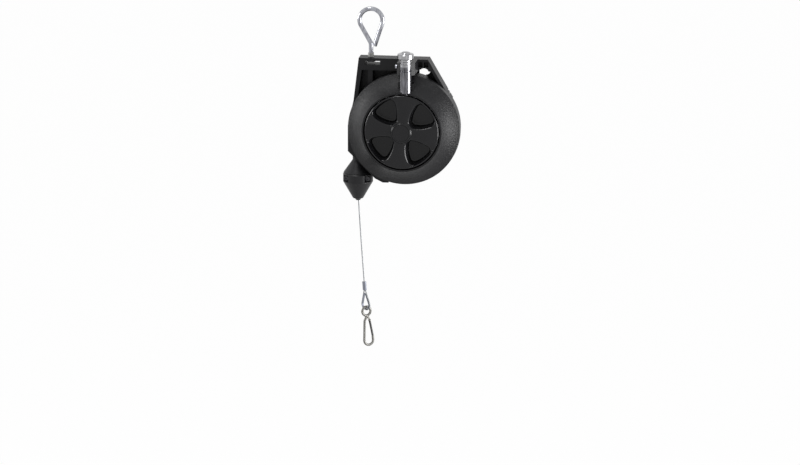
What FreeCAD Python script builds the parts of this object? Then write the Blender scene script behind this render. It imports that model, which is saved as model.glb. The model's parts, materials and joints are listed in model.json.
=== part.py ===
import FreeCAD, Part
import math
import os
import Sketcher

# Spring tool balancer that hangs from a swivelling wire eye. Millimetres, +Z up, front towards -Y.
# The origin is the seat of the eye: the inside of its top, where a ceiling hook carries it.

os.makedirs("parts", exist_ok=True)
doc = FreeCAD.newDocument("tool_balancer")
Vector = FreeCAD.Vector

driving_sizes = {
    # main axis and housing
    "axis_side": 41.0,            # main axis, to the right of the eye
    "drum_gap": 1.6,              # drum flanges inside the housing wall
    "body_wall": 3.0,
    "rim_front": 12.0,            # joint between housing and cover, in front of the rope plane
    "round_back": 4.0,            # where the back starts to draw in
    "back_draw": 7.0,             # the back is this much smaller than the front
    "back_depth": 29.0,
    "back_rib": 3.0,
    "rib_width": 2.4,
    # top bar and side walls
    "bar_rise": 17.0,             # top of the bar above the round part
    "bar_height": 14.0,
    "bar_left": 54.0,
    "bar_right": 26.4,
    "frame_front": 10.0,
    "frame_back": 8.0,
    "frame_wall": 3.6,
    "web": 3.0,
    "shoulder_angle": 32.0,       # where the right wall meets the round part
    "waist": 60.0,                # left wall at the height of the waist
    "waist_height": 30.0,
    "left_clear": 10.5,           # left wall outside the rope
    "corner_height": 30.0,        # the lower left corner is cut off from here
    "corner_clear": 3.7,          # foot of the cut, beside the rope stop
    "corner_foot": 61.5,
    "flat_foot": 66.0,
    "slot_width": 17.7,
    "slot_shift": 3.05,           # middle of the slot, to the right of the eye
    "slot_height": 4.6,
    "slot_top_wall": 3.2,
    "post_width": 5.5,
    "post_side": 40.8,
    "window_radius": 5.4,
    "window_side": 22.0,
    "window_drop": 15.6,          # below the top of the bar
    # front cover and its cup
    "cover_lip": 2.0,             # cover wider than the housing
    "cover_rim": 8.5,             # straight side of the cover
    "cone_depth": 19.5,
    "cone_bulge": 42.0,           # radius of the curved cone
    "cup_gap": 1.6,               # between knob and cup
    "cup_wall": 3.0,
    "cup_floor": 22.0,
    "cup_floor_wall": 3.0,
    "cover_shell": 3.0,
    # fasteners of the cover
    "screw_inset": 1.2,
    "screw_angle": 40.0,
    "screw_thread": 3.0,
    "screw_boss": 3.0,
    "screw_head": 5.5,
    # eye
    "eye_wire": 5.2,
    "eye_radius": 13.4,
    "eye_reach": 42.6,            # top of the bar to the middle of the loop
    "eye_leg_angle": 29.8,
    "eye_bend": 9.0,
    "eye_tail_angle": 18.0,
    "eye_tail": 27.2,
    "shank_end": 6.2,             # below the top of the bar
    "collar_radius": 3.4,
    "collar_height": 4.5,
    "washer_radius": 5.5,
    "washer_height": 0.8,
    "nut_flats": 9.0,
    "nut_height": 1.6,
    # arbor and bearings
    "arbor_radius": 7.0,
    "arbor_square": 9.6,
    "arbor_front": 38.0,
    "arbor_tail": 5.0,            # arbor behind the housing
    "bearing_wall": 2.5,
    "bearing_flange": 1.5,
    "bearing_length": 8.0,
    "running_fit": 0.05,
    "bearing_boss": 3.5,
    "cap_wall": 1.6,
    "cap_depth": 8.0,
    # drum and spring
    "rope_diameter": 1.5,
    "rope_pitch_radius": 56.2,
    "rope_turns": 6.0,
    "rope_spacing": 1.65,
    "flange_step": 2.2,
    "flange_width": 1.7,
    "case_step": 5.7,             # spring case inside the rope's winding
    "case_wall": 4.0,
    "case_front": 4.0,
    "case_clear": 6.0,            # spring case inside the back of the housing
    "lid_width": 1.8,
    "lid_screw": 2.4,
    "hub_wall": 4.0,
    "core_wall": 2.6,
    "clip_step": 2.3,             # circlip behind the back of the housing
    "spring_strip": 0.7,
    "spring_turns": 8.0,
    "spring_clear": 0.8,
    # knob
    "knob_radius": 43.0,
    "knob_front": 41.0,
    "knob_back": 23.6,
    "knob_dome": 3.0,
    "knob_screw": 6.0,
    "hub_radius": 11.0,
    "hub_rise": 1.8,
    "pocket_inner": 13.6,
    "pocket_outer": 40.3,
    "pocket_span": 50.0,
    "pocket_round": 6.0,
    "pocket_side": 48.0,
    "pocket_depth": 13.0,
    "pocket_turn": 37.5,
    "ring_wall": 1.5,
    "ring_front": 38.2,
    "ring_back": 28.6,
    "index_holes": 24.0,
    "index_hole": 6.4,
    # lock pin
    "pin_side": 4.0,
    "pin_front": 34.0,
    "pin_radius": 2.5,
    "pin_reach": 1.2,             # how far the tip enters the index ring
    "sleeve_radius": 6.8,
    "sleeve_sink": 2.6,           # end of the barrel below the top of the bar
    "chamber_radius": 4.7,
    "chamber_drop": 24.0,
    "lug_half": 10.5,
    "lug_cover": 1.6,             # lug in front of the barrel's axis
    "ring_nut_radius": 6.7,
    "ring_nut_height": 7.3,
    "lock_cap_radius": 9.4,
    "lock_cap_height": 8.6,
    "lock_cap_dome": 2.4,         # raised middle of the cap
    "lock_gap": 0.4,
    "lock_wire": 0.7,
    "lock_coils": 7.0,
    # rope outlet and buffer
    "funnel_neck": 6.2,
    "funnel_top": 41.5,
    "funnel_mouth": 56.4,
    "buffer_radius": 17.3,
    "buffer_band": 10.4,
    "buffer_tip": 6.0,
    "buffer_end": 89.4,
    "buffer_nose": 5.0,
    "buffer_bore": 1.3,
    "bush_radius": 4.2,
    "crimp_radius": 2.6,
    "crimp_length": 8.0,
    "lead_start": 14.0,           # free rope begins this far below the main axis
    "seat_gap": 0.3,
    # hanging end
    "rope_lean": 4.2,
    "rope_drop": 96.0,            # from the bend under the buffer to the ferrule
    "ferrule_length": 10.0,
    "ferrule_width": 5.2,
    "ferrule_depth": 3.2,
    "loop_radius": 6.2,
    "loop_length": 23.0,
    "loop_turn": 35.0,
    "loop_seat": 0.35,            # middle of the rope below the hook's hinge
    "thimble_strip": 0.8,
    "thimble_width": 2.2,
    "hook_gap": 0.6,              # hook eye above the thimble
    "hook_wire": 2.8,
    "hook_eye": 5.2,
    "hook_turn": 35.0,
    "hook_shoulder": 13.0,
    "hook_half_top": 3.2,
    "hook_bowl": 6.0,
    "hook_length": 48.0,
    "nose_height": 4.0,
    "gate_gap": 0.5,
    "rivet": 1.4,
    "fork_gap": 0.15,
}


class Size:
    """A length or angle: its value, and the expression that binds a property to the sheet."""

    def __init__(self, text, value):
        self.text = text
        self.value = value

    def __add__(self, other):
        other = as_size(other)
        return Size("(%s + %s)" % (self.text, other.text), self.value + other.value)

    def __sub__(self, other):
        other = as_size(other)
        return Size("(%s - %s)" % (self.text, other.text), self.value - other.value)

    def __mul__(self, other):
        other = as_size(other)
        return Size("(%s * %s)" % (self.text, other.text), self.value * other.value)

    def __truediv__(self, other):
        other = as_size(other)
        return Size("(%s / %s)" % (self.text, other.text), self.value / other.value)

    def __neg__(self):
        return Size("(0 - %s)" % self.text, -self.value)

    def __radd__(self, other):
        return as_size(other) + self

    def __rsub__(self, other):
        return as_size(other) - self

    def __rmul__(self, other):
        return as_size(other) * self


def as_size(value):
    if isinstance(value, Size):
        return value
    return Size("%r" % float(value), float(value))


def sine(angle):
    return Size("sin(%s)" % angle.text, math.sin(math.radians(angle.value)))


def cosine(angle):
    return Size("cos(%s)" % angle.text, math.cos(math.radians(angle.value)))


def tangent(angle):
    return Size("tan(%s)" % angle.text, math.tan(math.radians(angle.value)))


sheet = doc.addObject("Spreadsheet::Sheet", "Sizes")


class Sizes:
    """Every driving size as an attribute."""


s = Sizes()
for row, (alias, number) in enumerate(driving_sizes.items(), start=1):
    sheet.set("A%d" % row, alias)
    sheet.set("B%d" % row, str(number))
    sheet.setAlias("B%d" % row, alias)
    setattr(s, alias, Size("Sizes." + alias, number))
doc.recompute()

nodes = []


def bind(item, path, amount):
    amount = as_size(amount)
    item.setExpression(path, amount.text)


def register(item, name):
    item.Label = name
    nodes.append(item)
    return item


def place(item, x=0, y=0, z=0):
    start = [as_size(amount).value for amount in (x, y, z)]
    item.Placement = FreeCAD.Placement(Vector(*start), item.Placement.Rotation)
    bind(item, "Placement.Base.x", x)
    bind(item, "Placement.Base.y", y)
    bind(item, "Placement.Base.z", z)


def new_body(name, x=0, y=0, z=0, placement=None):
    made = register(doc.addObject("PartDesign::Body", name), name)
    if placement is None:
        place(made, x, y, z)
    else:
        made.Placement = placement
    return made


def new_sketch(owner, plane, height=0):
    """Sketch on one of the body's own origin planes, moved along the plane's normal."""
    made = owner.newObject("Sketcher::SketchObject", owner.Name + "_sketch")
    origin = next(item for item in owner.Origin.OriginFeatures if item.Role == plane)
    made.AttachmentSupport = (origin, [""])
    made.MapMode = "FlatFace"
    bind(made, "AttachmentOffset.Base.z", height)
    return made


def front_sketch(owner, y):
    """Sketch in X and Z that faces the front, at depth y."""
    return new_sketch(owner, "XZ_Plane", -as_size(y))


def pin_point(sketch, geometry, position, x, y):
    for kind, amount in (("DistanceX", as_size(x)), ("DistanceY", as_size(y))):
        rule = Sketcher.Constraint(kind, -1, 1, geometry, position, amount.value)
        number = sketch.addConstraint(rule)
        bind(sketch, "Constraints[%d]" % number, amount)


def circle(sketch, x, y, radius):
    middle = Vector(as_size(x).value, as_size(y).value, 0)
    radius = as_size(radius)
    number = sketch.addGeometry(Part.Circle(middle, Vector(0, 0, 1), radius.value))
    pin_point(sketch, number, 3, x, y)
    rule = sketch.addConstraint(Sketcher.Constraint("Radius", number, radius.value))
    bind(sketch, "Constraints[%d]" % rule, radius)


def arc_middle(start, end, radius, large):
    """Point halfway along the arc; a positive radius bulges to the right of the way."""
    chord = end - start
    half = chord.Length / 2
    rise = abs(radius) - math.sqrt(max(radius * radius - half * half, 0.0))
    if large:
        rise = 2 * abs(radius) - rise
    side = Vector(chord.y, -chord.x, 0).normalize() * math.copysign(rise, radius)
    return start + chord * 0.5 + side


def outline(sketch, corners, closed=True):
    """Lines and arcs through corners (x, y) or (x, y, radius[, large]): an arc ends at its corner."""
    points = [Vector(as_size(c[0]).value, as_size(c[1]).value, 0) for c in corners]
    count = len(corners)
    edges = count if closed else count - 1
    ends = []
    for index in range(edges):
        start, end = points[index], points[(index + 1) % count]
        corner = corners[(index + 1) % count]
        if len(corner) == 2:
            number = sketch.addGeometry(Part.LineSegment(start, end))
            ends.append((number, 1, 2))
            continue
        radius = as_size(corner[2])
        middle = arc_middle(start, end, radius.value, len(corner) > 3)
        number = sketch.addGeometry(Part.Arc(start, middle, end))
        rule = sketch.addConstraint(Sketcher.Constraint("Radius", number, abs(radius.value)))
        bind(sketch, "Constraints[%d]" % rule, radius if radius.value > 0 else -radius)
        ends.append((number, 1, 2) if radius.value > 0 else (number, 2, 1))
    for index, corner in enumerate(corners):
        if index < edges:
            number, first, _ = ends[index]
            pin_point(sketch, number, first, corner[0], corner[1])
        before = index - 1 if index else (edges - 1 if closed else None)
        if before is None or before >= edges:
            continue
        number, _, last = ends[before]
        if index < edges:
            rule = Sketcher.Constraint("Coincident", number, last, ends[index][0], ends[index][1])
            sketch.addConstraint(rule)
        else:
            pin_point(sketch, number, last, corner[0], corner[1])


def box_outline(sketch, left, low, right, high):
    outline(sketch, [(left, low), (right, low), (right, high), (left, high)])


def feature(owner, kind, sketch, length=None, reverse=False):
    made = owner.newObject("PartDesign::" + kind, owner.Name + "_" + kind.lower())
    made.Profile = sketch
    if length is not None:
        bind(made, "Length", length)
        made.Reversed = reverse
    sketch.Visibility = False
    return made


def turn(owner, kind, sketch, axis_x=None):
    """Full turn about the sketch's vertical axis, or about an upright line at axis_x."""
    made = owner.newObject("PartDesign::" + kind, owner.Name + "_" + kind.lower())
    made.Profile = sketch
    made.ReferenceAxis = (sketch, ["V_Axis"])
    if axis_x is not None:
        line = Part.LineSegment(Vector(axis_x.value, 10, 0), Vector(axis_x.value, 20, 0))
        number = sketch.addGeometry(line, True)
        pin_point(sketch, number, 1, axis_x, 10)
        pin_point(sketch, number, 2, axis_x, 20)
        made.ReferenceAxis = (sketch, ["Axis0"])
    made.Angle = 360
    return made


def around(owner, original, count):
    """Repeat a feature about the piece's own Y axis."""
    made = owner.newObject("PartDesign::PolarPattern", owner.Name + "_pattern")
    axis = next(item for item in owner.Origin.OriginFeatures if item.Role == "Y_Axis")
    made.Originals = [original]
    made.Axis = (axis, [""])
    made.Angle = 360
    made.Occurrences = int(round(as_size(count).value))
    owner.Tip = made
    return made


def lathe(name, profile, axis, x=0, y=0, z=0):
    """Round piece about its own Y or Z axis from a profile of (radius, height)."""
    made = new_body(name, x, y, z)
    sketch = new_sketch(made, "XY_Plane" if axis == "Y" else "XZ_Plane")
    outline(sketch, profile)
    turn(made, "Revolution", sketch)
    return made


def tube(name, inner, outer, low, high, axis, x=0, y=0, z=0):
    return lathe(name, [(inner, low), (outer, low), (outer, high), (inner, high)], axis, x, y, z)


def as_node(name, shape, placement=None):
    made = register(doc.addObject("Part::Feature", name), name)
    made.Shape = shape
    if placement is not None:
        made.Placement = placement
    return made


def pipe(owner, path, profile):
    made = owner.newObject("PartDesign::AdditivePipe", owner.Name + "_pipe")
    made.Profile = profile
    made.Spine = (path, [])
    return made


# ---- shared places ----
flange_radius = s.rope_pitch_radius + s.flange_step
case_radius = s.rope_pitch_radius - s.case_step
body_radius = flange_radius + s.drum_gap + s.body_wall
back_radius = body_radius - s.back_draw
cover_radius = body_radius + s.cover_lip
screw_circle = body_radius - s.screw_inset
left_reach = s.rope_pitch_radius + s.left_clear
bar_top = body_radius + s.bar_rise
window_height = bar_top - s.window_drop
sleeve_top = bar_top - s.sleeve_sink
chamber_low = bar_top - s.chamber_drop
axis_drop = bar_top + s.eye_reach + s.eye_radius - s.eye_wire / 2
axis_place = (s.axis_side, 0, -axis_drop)
loop_height = s.eye_wire / 2 - s.eye_radius
bar_level = bar_top - axis_drop
bar_low = bar_top - s.bar_height
slot_high = bar_top - s.slot_top_wall
slot_low = slot_high - s.slot_height
eye_x = -s.axis_side
rope_x = -s.rope_pitch_radius
tub_radius = body_radius - s.body_wall
bearing_radius = s.arbor_radius + s.running_fit + s.bearing_wall
bearing_bore = s.arbor_radius + s.running_fit
boss_radius = bearing_radius + s.bearing_boss
cup_radius = s.knob_radius + s.cup_gap
back_inside = s.back_depth - s.body_wall
case_back = back_inside - s.case_clear
arbor_back = s.back_depth + s.arbor_tail
clip_place = s.back_depth + s.clip_step
cover_front = s.rim_front + s.cover_rim + s.cone_depth
front_bush_back = s.bearing_length - s.case_front - 4
rear_bush_back = case_back - 0.2
rear_bush_front = rear_bush_back - s.bearing_length + 1


def make_back_housing():
    housing = new_body("back_housing", *axis_place)
    shoulder = (body_radius * cosine(s.shoulder_angle), body_radius * sine(s.shoulder_angle))
    corner_x = rope_x + s.buffer_radius + s.corner_clear
    foot_step = s.flat_foot - s.corner_foot
    plan = front_sketch(housing, s.frame_back)
    outline(plan, [
        (-s.bar_left, bar_top), (s.bar_right, bar_top), shoulder, (0, 0),
        (-s.window_radius * 3.6, -s.flat_foot), (corner_x + 2 * foot_step, -s.flat_foot),
        (corner_x, -s.corner_foot), (-left_reach, -s.corner_height), (-left_reach, 0),
        (-s.waist, s.waist_height)])
    feature(housing, "Pad", plan, s.frame_front + s.frame_back)

    # recess between bar and round part, open at the front, closed by the web
    recess = front_sketch(housing, -s.frame_front)
    slope = s.frame_wall * 1.2
    outline(recess, [
        (-s.bar_left + s.frame_wall, bar_low), (s.bar_right + s.bar_height * 0.62 - slope, bar_low),
        (shoulder[0] - slope, shoulder[1]), (0, s.waist_height), (-s.waist + slope, s.waist_height)])
    feature(housing, "Pocket", recess, s.frame_front + s.frame_back - s.web)

    # post that stiffens the recess
    post = front_sketch(housing, s.frame_back - s.web)
    box_outline(post, -s.post_side - s.post_width / 2, s.waist_height,
                -s.post_side + s.post_width / 2, bar_low + 1)
    feature(housing, "Pad", post, s.frame_front + s.frame_back - s.web - 2)

    # window for a safety chain, through web and right hand corner
    window = front_sketch(housing, -s.frame_front)
    outline(window, [
        (s.window_side, window_height + s.window_radius),
        (s.pin_side + s.lug_half, window_height + s.window_radius / 2),
        (s.pin_side + s.lug_half, window_height - s.window_radius * 2),
        (s.window_side, window_height - s.window_radius * 2)])
    feature(housing, "Pocket", window, s.frame_front + s.frame_back + 1)
    window_end = front_sketch(housing, -s.frame_front)
    circle(window_end, s.window_side, window_height, s.window_radius)
    feature(housing, "Pocket", window_end, s.frame_front + s.frame_back + 1)

    # slot of the eye nut, through the bar
    slot = front_sketch(housing, -s.frame_front)
    slot_middle = eye_x + s.slot_shift
    box_outline(slot, slot_middle - s.slot_width / 2, slot_low, slot_middle + s.slot_width / 2, slot_high)
    feature(housing, "Pocket", slot, s.frame_front + s.frame_back)

    # blind pockets at both ends of the bar's right half
    for low_x, high_x in ((s.pin_side + s.lug_half + 0.8, s.bar_right - 6.2),
                          (s.bar_right - 4.6, s.bar_right + 0.6)):
        pocket = front_sketch(housing, -s.frame_front)
        box_outline(pocket, low_x, bar_low + 4.8, high_x, bar_top - 3)
        feature(housing, "Pocket", pocket, 7)

    # lug that holds the barrel of the lock pin
    lug = new_sketch(housing, "XY_Plane", bar_low)
    lug_front = -(s.pin_front + s.lug_cover)
    outline(lug, [
        (s.pin_side - s.lug_half, 0), (s.pin_side - s.lug_half, lug_front + 4),
        (s.pin_side - s.lug_half + 4, lug_front), (s.pin_side + s.lug_half - 4, lug_front),
        (s.pin_side + s.lug_half, lug_front + 4), (s.pin_side + s.lug_half, 0)])
    feature(housing, "Pad", lug, s.bar_height)

    # round part with a drawn-in back, then its hollow
    shell = new_sketch(housing, "XY_Plane")
    outline(shell, [
        (0, -s.rim_front), (body_radius, -s.rim_front), (body_radius, s.round_back),
        (back_radius, s.back_depth), (0, s.back_depth)])
    turn(housing, "Revolution", shell)

    # rope outlet: flared funnel under the cut corner
    funnel = new_sketch(housing, "XZ_Plane")
    outline(funnel, [
        (rope_x, -s.corner_height), (rope_x + s.funnel_neck, -s.corner_height),
        (rope_x + s.funnel_neck, -s.funnel_top), (rope_x + s.buffer_radius - 0.6, -s.funnel_mouth),
        (rope_x, -s.funnel_mouth)])
    turn(housing, "Revolution", funnel, rope_x)

    # hollow of the round part
    hollow = new_sketch(housing, "XY_Plane")
    inner_back = back_radius - s.body_wall
    outline(hollow, [
        (boss_radius, -s.rim_front - 1), (tub_radius, -s.rim_front - 1), (tub_radius, s.round_back),
        (inner_back, back_inside), (boss_radius, back_inside)])
    turn(housing, "Groove", hollow)
    front_of_boss = new_sketch(housing, "XY_Plane")
    outline(front_of_boss, [
        (0, -s.rim_front - 1), (boss_radius, -s.rim_front - 1),
        (boss_radius, s.back_depth + 2 - s.bearing_length), (0, s.back_depth + 2 - s.bearing_length)])
    turn(housing, "Groove", front_of_boss)

    # rear boss and bearing seat
    boss = front_sketch(housing, s.back_depth + 2)
    circle(boss, 0, 0, boss_radius)
    feature(housing, "Pad", boss, 4)
    seat = front_sketch(housing, s.back_depth + 3)
    circle(seat, 0, 0, bearing_radius)
    feature(housing, "Pocket", seat, s.bearing_length + 8, reverse=True)

    # stiffening ribs on the back
    rib = front_sketch(housing, s.back_depth + s.back_rib / 2)
    box_outline(rib, boss_radius + s.cap_wall + 0.4, -s.rib_width / 2, back_radius - 6, s.rib_width / 2)
    first_rib = feature(housing, "Pad", rib, s.back_rib)
    around(housing, first_rib, 8)

    # screw bosses with clearance holes
    screw_x = screw_circle * cosine(s.screw_angle)
    screw_z = screw_circle * sine(s.screw_angle)
    eyelet = front_sketch(housing, s.round_back)
    circle(eyelet, screw_x, screw_z, s.screw_boss)
    first_eyelet = feature(housing, "Pad", eyelet, s.round_back + s.rim_front)
    around(housing, first_eyelet, 4)
    head_room = front_sketch(housing, s.back_depth)
    circle(head_room, screw_x, screw_z, s.screw_head / 2 + 0.4)
    first_room = feature(housing, "Pocket", head_room, s.back_depth - s.round_back + 2, reverse=True)
    around(housing, first_room, 4)
    drill = front_sketch(housing, s.back_depth)
    circle(drill, screw_x, screw_z, s.screw_thread / 2 + 0.1)
    first_drill = feature(housing, "Pocket", drill, s.back_depth + s.rim_front + 1, reverse=True)
    around(housing, first_drill, 4)

    # seat of the bush and passage of the rope
    passage = new_sketch(housing, "XY_Plane", -s.funnel_mouth)
    circle(passage, rope_x, 0, s.bush_radius)
    feature(housing, "Pocket", passage, s.funnel_mouth - s.corner_height + 14, reverse=True)
    mouth = new_sketch(housing, "XZ_Plane")
    outline(mouth, [
        (rope_x, -s.funnel_mouth - 1), (rope_x + s.buffer_radius - 4, -s.funnel_mouth - 1),
        (rope_x + s.buffer_radius - 4.6, -s.funnel_mouth + 0.8),
        (rope_x + s.bush_radius, -s.funnel_mouth + s.buffer_nose + 3),
        (rope_x, -s.funnel_mouth + s.buffer_nose + 3)])
    turn(housing, "Groove", mouth, rope_x)

    # hole of the eye shank, bore of the barrel, hole of the clamp screw
    shank = new_sketch(housing, "XY_Plane", bar_top)
    circle(shank, eye_x, 0, s.eye_wire / 2 + s.running_fit)
    feature(housing, "Pocket", shank, s.slot_top_wall + 1)
    barrel = new_sketch(housing, "XY_Plane", bar_top)
    circle(barrel, s.pin_side, -s.pin_front, s.sleeve_radius + s.running_fit)
    feature(housing, "Pocket", barrel, s.bar_height)
    clamp = new_sketch(housing, "YZ_Plane", s.pin_side - s.lug_half)
    circle(clamp, -s.pin_front + 4, bar_top - 5, s.screw_thread / 2)
    feature(housing, "Pocket", clamp, s.lug_half - s.sleeve_radius, reverse=True)
    return housing


def make_front_cover():
    cover = new_body("front_cover", *axis_place)
    rim_edge = -(s.rim_front + s.cover_rim)
    cup_outer = cup_radius + s.cup_wall
    inner_radius = cover_radius - s.cover_shell
    hub = new_sketch(cover, "XY_Plane")
    floor_back = -(s.cup_floor - s.cup_floor_wall)
    outline(hub, [
        (bearing_radius, -s.cup_floor), (cup_radius, -s.cup_floor), (cup_radius, -cover_front),
        (cup_outer - 1.2, -cover_front), (cover_radius, rim_edge, -s.cone_bulge),
        (cover_radius, -s.rim_front), (inner_radius, -s.rim_front),
        (inner_radius, rim_edge + 1), (cup_outer, -cover_front + s.cover_shell + 1.4, s.cone_bulge),
        (cup_outer, floor_back), (boss_radius, floor_back), (boss_radius, -s.cup_floor + s.bearing_length),
        (bearing_radius, -s.cup_floor + s.bearing_length)])
    turn(cover, "Revolution", hub)

    # spigot that centres the cover in the housing
    spigot_outer = tub_radius - s.running_fit
    spigot_inner = spigot_outer - 1.6
    spigot = new_sketch(cover, "XY_Plane")
    outline(spigot, [
        (spigot_inner, -s.rim_front + 1.8), (spigot_outer, -s.rim_front + 1.8),
        (spigot_outer, -s.rim_front - 0.6), (inner_radius + 0.4, -s.rim_front - 1.2),
        (inner_radius + 0.4, -s.rim_front - 2.6), (spigot_inner, -s.rim_front - 2.6)])
    turn(cover, "Revolution", spigot)

    # blind screw bosses behind the rim
    screw_x = screw_circle * cosine(s.screw_angle)
    screw_z = screw_circle * sine(s.screw_angle)
    boss = front_sketch(cover, -s.rim_front)
    circle(boss, screw_x, screw_z, s.screw_boss)
    first_boss = feature(cover, "Pad", boss, s.cover_rim)
    around(cover, first_boss, 4)
    clear = front_sketch(cover, -s.rim_front + 2)
    circle(clear, screw_x, screw_z, s.screw_boss + 0.3)
    first_clear = feature(cover, "Pocket", clear, 2, reverse=True)
    around(cover, first_clear, 4)
    thread = front_sketch(cover, -s.rim_front)
    circle(thread, screw_x, screw_z, s.screw_thread / 2)
    first_thread = feature(cover, "Pocket", thread, s.cover_rim - 1.5, reverse=True)
    around(cover, first_thread, 4)

    # block behind the barrel and its bore through cone and cup
    block = new_sketch(cover, "XY_Plane", cup_radius + 1)
    box_outline(block, s.pin_side - s.sleeve_radius - 2.4, -s.pin_front + 0.5,
                s.pin_side + s.sleeve_radius + 2.4, -s.cup_floor + 1)
    feature(cover, "Pad", block, s.lug_half)
    bore = new_sketch(cover, "XY_Plane", cover_radius + 1)
    circle(bore, s.pin_side, -s.pin_front, s.sleeve_radius + s.running_fit)
    feature(cover, "Pocket", bore, cover_radius - cup_radius + 0.2)
    tip = new_sketch(cover, "XY_Plane", cup_radius + 4)
    circle(tip, s.pin_side, -s.pin_front, s.pin_radius + 0.3)
    feature(cover, "Pocket", tip, 8)
    return cover


def polar_cylinders(count, first_angle, distance, radius, front, length):
    """Equal cylinders along +Y around the Y axis."""
    made = []
    for number in range(count):
        angle = math.radians(first_angle + 360.0 * number / count)
        start = Vector(distance * math.cos(angle), front, distance * math.sin(angle))
        made.append(Part.makeCylinder(radius, length, start, Vector(0, 1, 0)))
    return made


def socket_screws(name, count, first_angle, distance, head_back, head_front, tip, thread, head):
    """Cap screws along Y: head between head_back and head_front, shank on to tip."""
    low, high = sorted((head_back, head_front))
    heads = polar_cylinders(count, first_angle, distance, head / 2, low, high - low)
    shank_low, shank_high = sorted((head_front, tip))
    shanks = polar_cylinders(count, first_angle, distance, thread / 2, shank_low, shank_high - shank_low)
    depth = (high - low) * 0.6
    hex_start = head_back - depth if head_back > head_front else head_back
    hexes = polar_cylinders(count, first_angle, distance, head * 0.26, hex_start, depth)
    solids = [a.fuse(b).removeSplitter().cut(c) for a, b, c in zip(heads, shanks, hexes)]
    node = as_node(name, Part.makeCompound(solids))
    place(node, *axis_place)
    return node


def make_housing_parts():
    socket_screws("cover_screws", 4, s.screw_angle.value, screw_circle.value,
                  s.round_back.value + s.screw_thread.value - 2, s.round_back.value - 2,
                  -(s.rim_front + s.cover_rim - 2).value, s.screw_thread.value - 0.04, s.screw_head.value)
    flange = s.bearing_flange
    inner, outer = bearing_bore, bearing_radius
    back = s.back_depth + 2
    lathe("rear_bearing", [
        (inner, back - s.bearing_length - flange), (outer + 1.5, back - s.bearing_length - flange),
        (outer + 1.5, back - s.bearing_length), (outer, back - s.bearing_length), (outer, back),
        (inner, back)], "Y", *axis_place)
    front = -s.cup_floor + s.bearing_length
    lathe("front_bearing", [
        (inner, -s.cup_floor), (outer, -s.cup_floor), (outer, front), (outer + 1.5, front),
        (outer + 1.5, front + flange), (inner, front + flange)], "Y", *axis_place)
    cap_back = back + s.cap_depth
    cap_inner = boss_radius + s.running_fit
    lathe("rear_cap", [
        (0, cap_back - s.cap_wall), (cap_inner - 2, cap_back - s.cap_wall), (cap_inner, cap_back - 3.6),
        (cap_inner, back - 1.4), (cap_inner + s.cap_wall, back - 1.4),
        (cap_inner + s.cap_wall, cap_back - 3), (cap_inner - 1.6, cap_back), (0, cap_back)],
        "Y", *axis_place)

    pin_place = (s.axis_side + s.pin_side, -s.pin_front, -axis_drop)
    guide = s.pin_radius + s.running_fit
    foot = cup_radius + 0.9
    groove_low = sleeve_top - 6.4
    lathe("lock_sleeve", [
        (guide, foot), (s.sleeve_radius, foot), (s.sleeve_radius, groove_low - 0.4),
        (s.sleeve_radius - 0.5, groove_low), (s.sleeve_radius - 0.5, groove_low + 1.2),
        (s.sleeve_radius, groove_low + 1.6), (s.sleeve_radius, sleeve_top),
        (s.chamber_radius, sleeve_top), (s.chamber_radius, chamber_low),
        (guide, chamber_low)], "Z", *pin_place)
    nut_top = sleeve_top + s.ring_nut_height
    groove = s.ring_nut_radius - 0.7
    lathe("lock_ring", [
        (guide, sleeve_top - 3), (s.chamber_radius - s.running_fit, sleeve_top - 3),
        (s.chamber_radius - s.running_fit, sleeve_top), (s.ring_nut_radius, sleeve_top),
        (s.ring_nut_radius, sleeve_top + 1.8), (groove, sleeve_top + 2.2),
        (groove, sleeve_top + 3.2), (s.ring_nut_radius, sleeve_top + 3.6),
        (s.ring_nut_radius, sleeve_top + 4.8), (groove, sleeve_top + 5.2),
        (groove, nut_top), (guide, nut_top)], "Z", *pin_place)

    screw_side = s.pin_side - s.lug_half
    side = Vector(1, 0, 0)
    height = (bar_top - 5).value
    depth = (4 - s.pin_front).value
    head = Part.makeCylinder(2.6, 2, Vector(screw_side.value - 2, depth, height), side)
    shank = Part.makeCylinder(1.45, (s.lug_half - s.sleeve_radius).value - 0.4,
                              Vector(screw_side.value, depth, height), side)
    slot = Part.makeBox(1, 6, 0.7, Vector(screw_side.value - 2, depth - 3, height - 0.35))
    node = as_node("sleeve_screw", head.fuse(shank).removeSplitter().cut(slot))
    place(node, *axis_place)

    mouth_top = -s.funnel_mouth + s.buffer_nose + 3
    lathe("rope_bush", [
        (s.buffer_bore, mouth_top + 1), (s.bush_radius - s.running_fit, mouth_top + 0.4),
        (s.bush_radius - s.running_fit, -s.corner_height), (s.buffer_bore + 1, -s.corner_height),
        (s.buffer_bore, -s.corner_height - 2)], "Z", s.axis_side + rope_x, 0, -axis_drop)


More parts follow.
